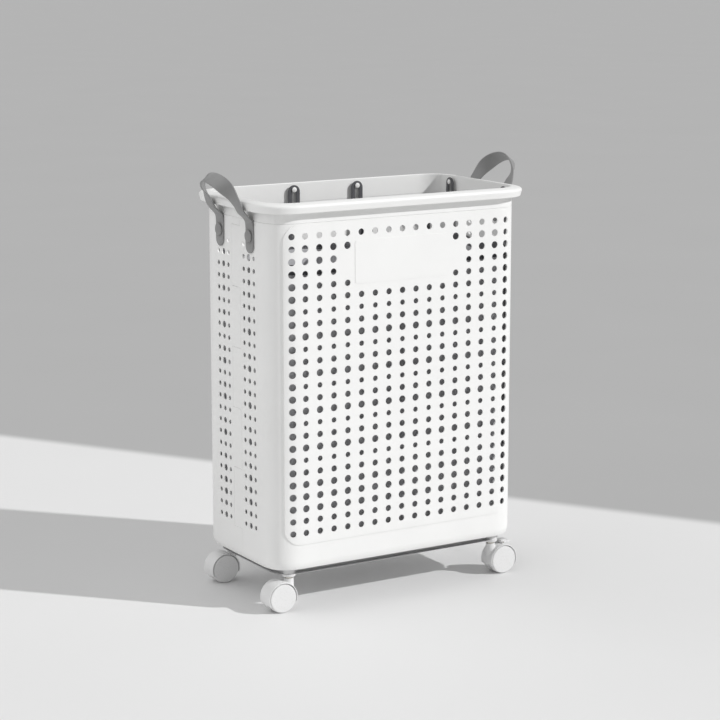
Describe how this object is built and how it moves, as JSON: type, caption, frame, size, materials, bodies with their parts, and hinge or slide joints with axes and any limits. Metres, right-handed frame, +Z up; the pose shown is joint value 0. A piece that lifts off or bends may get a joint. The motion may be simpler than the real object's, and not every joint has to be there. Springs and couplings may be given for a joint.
{
  "type": "laundry sorter on wheels",
  "caption": "Tall perforated plastic tub with a rolled rim, strap handles on both ends, two open liner bags inside and swivel casters underneath.",
  "frame": {"origin": "on the floor, under the middle of the body", "axes": "+X along the length towards the end with the braked casters, -Y is the front, +Z up"},
  "size_m": [0.5794, 0.273, 0.6887],
  "materials": {
    "white_plastic": "satin",
    "grey_rubber": "matt",
    "grey_cloth": "woven",
    "plated_steel": "bright nickel plating"
  },
  "bodies": {
    "frame": {"front_shell": "white_plastic", "rear_shell": "white_plastic", "rim_frame": "white_plastic", "base_tray": "white_plastic", "strap_tab_left_front": "grey_rubber", "button_left_front": "grey_rubber", "strap_tab_left_rear": "grey_rubber", "button_left_rear": "grey_rubber", "strap_tab_right_front": "grey_rubber", "button_right_front": "grey_rubber", "strap_tab_right_rear": "grey_rubber", "button_right_rear": "grey_rubber", "sleeve_front_left": "white_plastic", "stem_front_left": "plated_steel", "sleeve_front_right": "white_plastic", "stem_front_right": "plated_steel", "sleeve_rear_left": "white_plastic", "stem_rear_left": "plated_steel", "sleeve_rear_right": "white_plastic", "stem_rear_right": "plated_steel"},
    "caster_front_left": {"housing_front_left": "white_plastic", "axle_front_left": "plated_steel"},
    "wheel_front_left_a": {"wheel_front_left_a": "white_plastic"},
    "wheel_front_left_b": {"wheel_front_left_b": "white_plastic"},
    "caster_front_right": {"housing_front_right": "white_plastic", "axle_front_right": "plated_steel", "brake_pin_front_right": "plated_steel"},
    "wheel_front_right_a": {"wheel_front_right_a": "white_plastic"},
    "wheel_front_right_b": {"wheel_front_right_b": "white_plastic"},
    "brake_lever_front_right": {"brake_lever_front_right": "white_plastic"},
    "caster_rear_left": {"housing_rear_left": "white_plastic", "axle_rear_left": "plated_steel"},
    "wheel_rear_left_a": {"wheel_rear_left_a": "white_plastic"},
    "wheel_rear_left_b": {"wheel_rear_left_b": "white_plastic"},
    "caster_rear_right": {"housing_rear_right": "white_plastic", "axle_rear_right": "plated_steel", "brake_pin_rear_right": "plated_steel"},
    "wheel_rear_right_a": {"wheel_rear_right_a": "white_plastic"},
    "wheel_rear_right_b": {"wheel_rear_right_b": "white_plastic"},
    "brake_lever_rear_right": {"brake_lever_rear_right": "white_plastic"},
    "handle_left": {"strap_arch_left": "grey_rubber"},
    "bag_left": {"liner_bag_left": "grey_cloth"},
    "handle_right": {"strap_arch_right": "grey_rubber"},
    "bag_right": {"liner_bag_right": "grey_cloth"}
  },
  "joints": [
    {"name": "swivel_front_left", "type": "hinge", "parent": "frame", "child": "caster_front_left", "pos_m": [-0.192, -0.0955, 0.0515], "axis": [0, 0, 1], "continuous": true},
    {"name": "wheel_spin_front_left_a", "type": "hinge", "parent": "caster_front_left", "child": "wheel_front_left_a", "pos_m": [-0.20975, -0.0955, 0.0235], "axis": [0, 1, 0], "continuous": true},
    {"name": "wheel_spin_front_left_b", "type": "hinge", "parent": "caster_front_left", "child": "wheel_front_left_b", "pos_m": [-0.20975, -0.0955, 0.0235], "axis": [0, 1, 0], "continuous": true},
    {"name": "swivel_front_right", "type": "hinge", "parent": "frame", "child": "caster_front_right", "pos_m": [0.192, -0.0955, 0.0515], "axis": [0, 0, 1], "continuous": true},
    {"name": "wheel_spin_front_right_a", "type": "hinge", "parent": "caster_front_right", "child": "wheel_front_right_a", "pos_m": [0.20975, -0.0955, 0.0235], "axis": [0, 1, 0], "continuous": true},
    {"name": "wheel_spin_front_right_b", "type": "hinge", "parent": "caster_front_right", "child": "wheel_front_right_b", "pos_m": [0.20975, -0.0955, 0.0235], "axis": [0, 1, 0], "continuous": true},
    {"name": "brake_front_right", "type": "hinge", "parent": "caster_front_right", "child": "brake_lever_front_right", "pos_m": [0.21275, -0.0955, 0.0509], "axis": [0, 1, 0], "range_deg": [0, 12]},
    {"name": "swivel_rear_left", "type": "hinge", "parent": "frame", "child": "caster_rear_left", "pos_m": [-0.192, 0.0955, 0.0515], "axis": [0, 0, 1], "continuous": true},
    {"name": "wheel_spin_rear_left_a", "type": "hinge", "parent": "caster_rear_left", "child": "wheel_rear_left_a", "pos_m": [-0.20975, 0.0955, 0.0235], "axis": [0, 1, 0], "continuous": true},
    {"name": "wheel_spin_rear_left_b", "type": "hinge", "parent": "caster_rear_left", "child": "wheel_rear_left_b", "pos_m": [-0.20975, 0.0955, 0.0235], "axis": [0, 1, 0], "continuous": true},
    {"name": "swivel_rear_right", "type": "hinge", "parent": "frame", "child": "caster_rear_right", "pos_m": [0.192, 0.0955, 0.0515], "axis": [0, 0, 1], "continuous": true},
    {"name": "wheel_spin_rear_right_a", "type": "hinge", "parent": "caster_rear_right", "child": "wheel_rear_right_a", "pos_m": [0.20975, 0.0955, 0.0235], "axis": [0, 1, 0], "continuous": true},
    {"name": "wheel_spin_rear_right_b", "type": "hinge", "parent": "caster_rear_right", "child": "wheel_rear_right_b", "pos_m": [0.20975, 0.0955, 0.0235], "axis": [0, 1, 0], "continuous": true},
    {"name": "brake_rear_right", "type": "hinge", "parent": "caster_rear_right", "child": "brake_lever_rear_right", "pos_m": [0.21275, 0.0955, 0.0509], "axis": [0, 1, 0], "range_deg": [0, 12]},
    {"name": "handle_left_swing", "type": "hinge", "parent": "frame", "child": "handle_left", "pos_m": [-0.23055, 0, 0.604], "axis": [0, -1, 0], "range_deg": [0, 75]},
    {"name": "bag_left_lift", "type": "slide", "parent": "frame", "child": "bag_left", "axis": [0, 0, 1], "range_m": [0, 0.076]},
    {"name": "handle_right_swing", "type": "hinge", "parent": "frame", "child": "handle_right", "pos_m": [0.23055, 0, 0.604], "axis": [0, 1, 0], "range_deg": [0, 75]},
    {"name": "bag_right_lift", "type": "slide", "parent": "frame", "child": "bag_right", "axis": [0, 0, 1], "range_m": [0, 0.076]}
  ]
}
